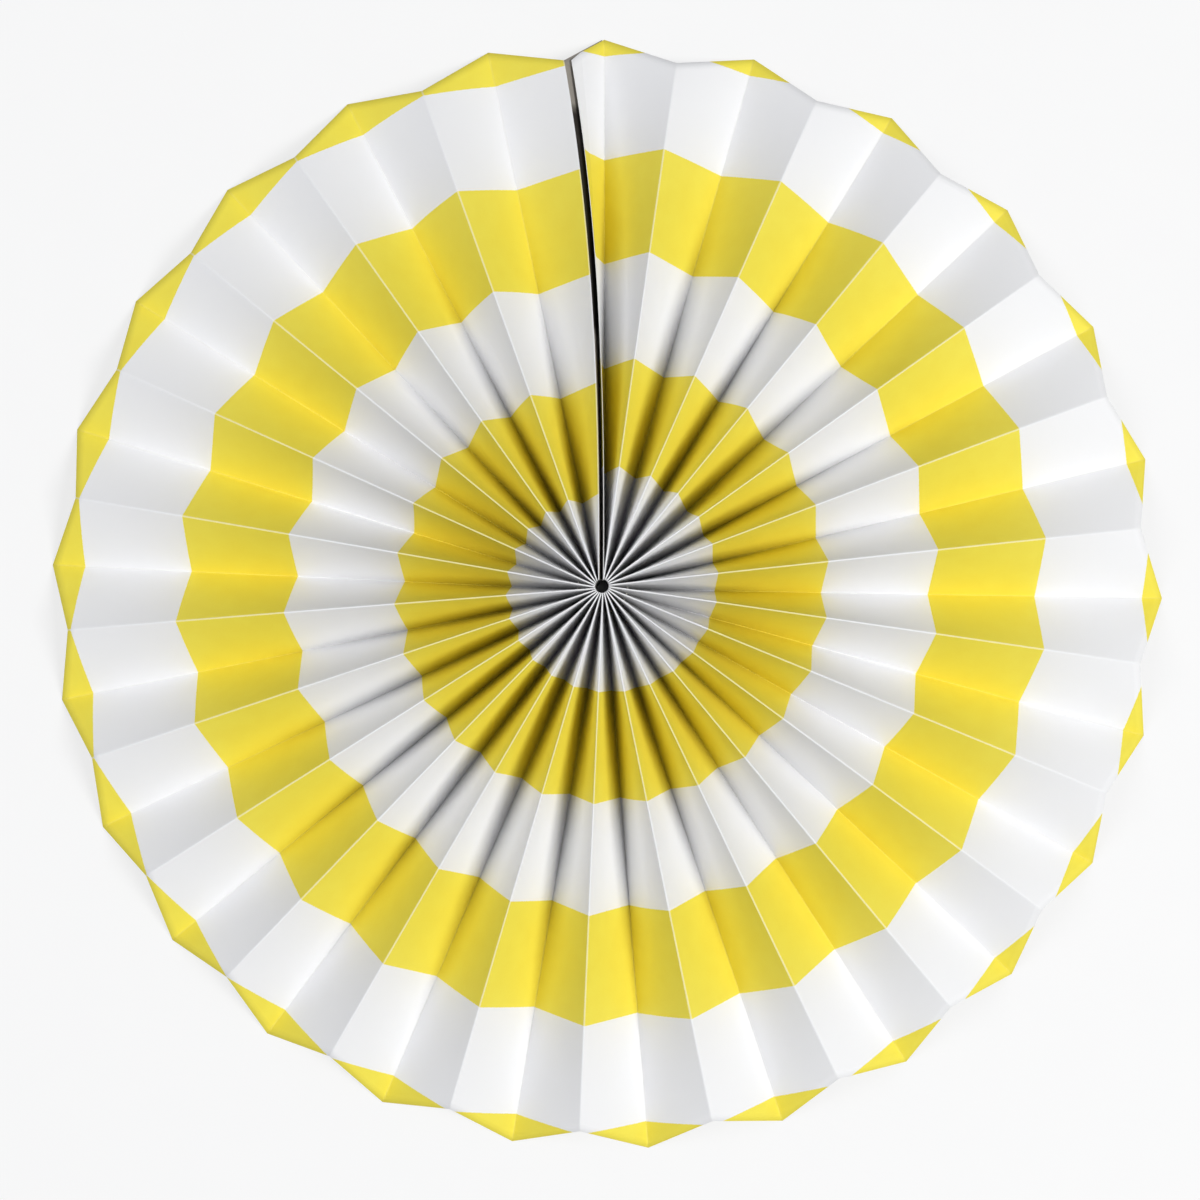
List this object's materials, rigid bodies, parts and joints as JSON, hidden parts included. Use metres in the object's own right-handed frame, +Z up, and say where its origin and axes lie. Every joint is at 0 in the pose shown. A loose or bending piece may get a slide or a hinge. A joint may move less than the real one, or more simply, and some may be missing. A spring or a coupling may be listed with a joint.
{
  "type": "paper fan rosette",
  "caption": "Round party rosette: one strip of striped paper pleated into radial panels, opened to a full circle and joined at one seam.",
  "frame": {"origin": "on the hub axis, at the level of the valley folds that the rosette lies on", "axes": "+Z up out of the printed front, +Y towards the seam's side of the rim, +X to the right of it seen from the front"},
  "size_m": [0.2999, 0.2995, 0.0211],
  "materials": {
    "striped_paper": "matt uncoated paper printed with yellow bands on white",
    "tape": "double-sided tissue tape",
    "thread": "white sewing thread"
  },
  "bodies": {
    "root": {"pleated_paper": "striped_paper", "seam_tape": "tape", "gathering_thread": "thread"}
  },
  "joints": []
}
